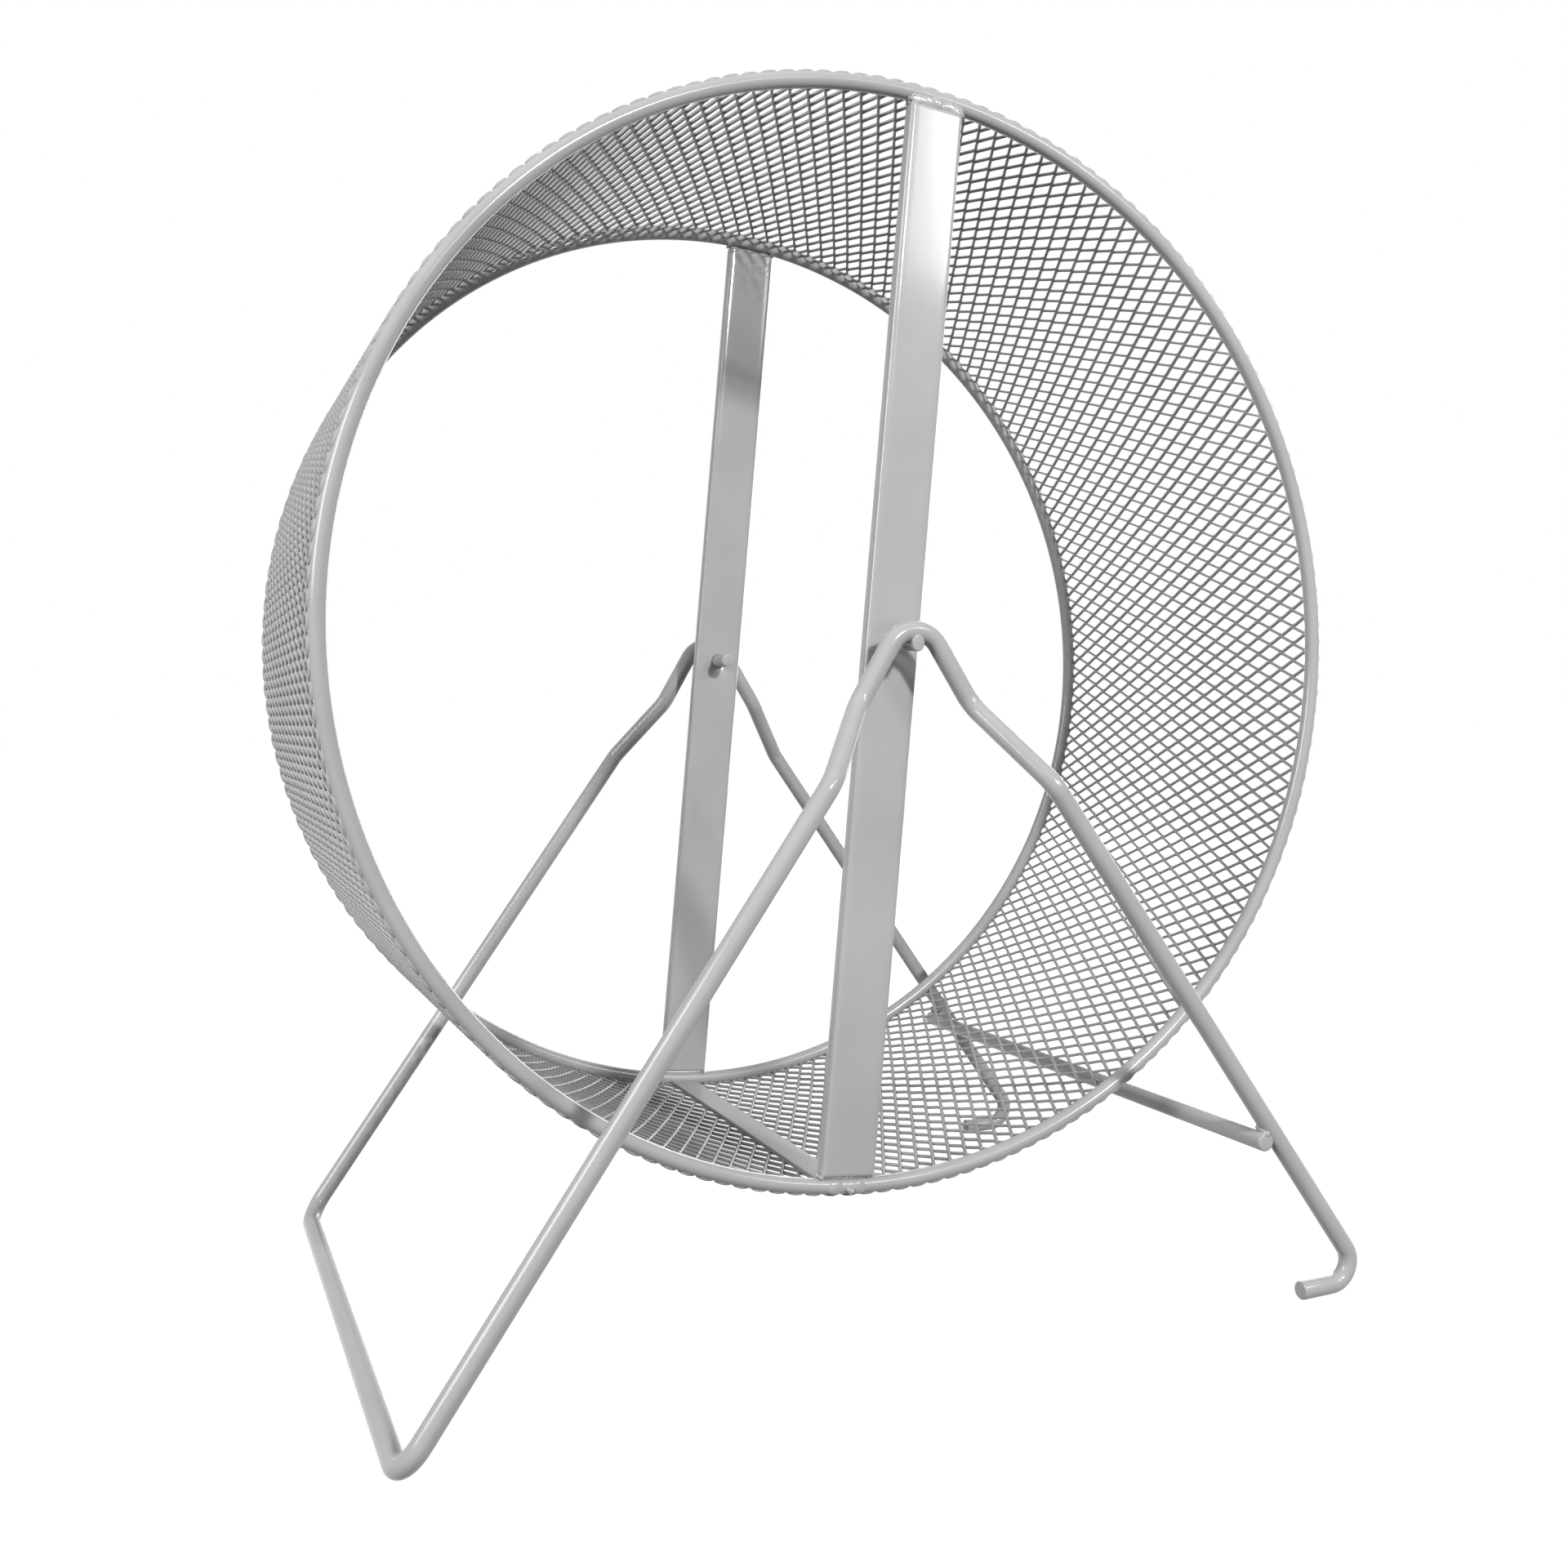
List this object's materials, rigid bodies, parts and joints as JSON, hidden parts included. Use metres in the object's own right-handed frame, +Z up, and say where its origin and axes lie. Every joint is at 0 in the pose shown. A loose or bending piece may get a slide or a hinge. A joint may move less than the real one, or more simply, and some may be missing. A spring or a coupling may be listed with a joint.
{
  "type": "rodent exercise wheel",
  "caption": "Free-standing running wheel: a drum of expanded metal between two wire rims with flat crossbars, turning on short pins in a bent wire stand.",
  "frame": {"origin": "on the floor under the middle of the stand's feet, under the centre of the wheel along X", "axes": "+Z up, Y along the axle with the pictured front at -Y, +X towards the hooked feet"},
  "size_m": [0.2836, 0.1868, 0.3186],
  "materials": {
    "painted_wire": "glossy light grey powder coat",
    "painted_bar": "glossy light grey powder coat",
    "painted_mesh": "glossy light grey powder coat on expanded metal",
    "painted_weld": "glossy light grey powder coat on weld beads"
  },
  "bodies": {
    "stand": {"stand_wire": "painted_wire", "stand_brace": "painted_wire", "front_axle_pin": "painted_wire", "back_axle_pin": "painted_wire", "front_pin_weld": "painted_weld", "back_pin_weld": "painted_weld", "brace_welds": "painted_weld"},
    "wheel": {"front_rim": "painted_wire", "back_rim": "painted_wire", "front_crossbar": "painted_bar", "back_crossbar": "painted_bar", "front_crossbar_welds": "painted_weld", "back_crossbar_welds": "painted_weld", "running_track": "painted_mesh", "seam_strip": "painted_bar"}
  },
  "joints": [
    {"name": "wheel_spin", "type": "hinge", "parent": "stand", "child": "wheel", "pos_m": [0, 0.0054, 0.17682], "axis": [0, 1, 0], "continuous": true}
  ]
}
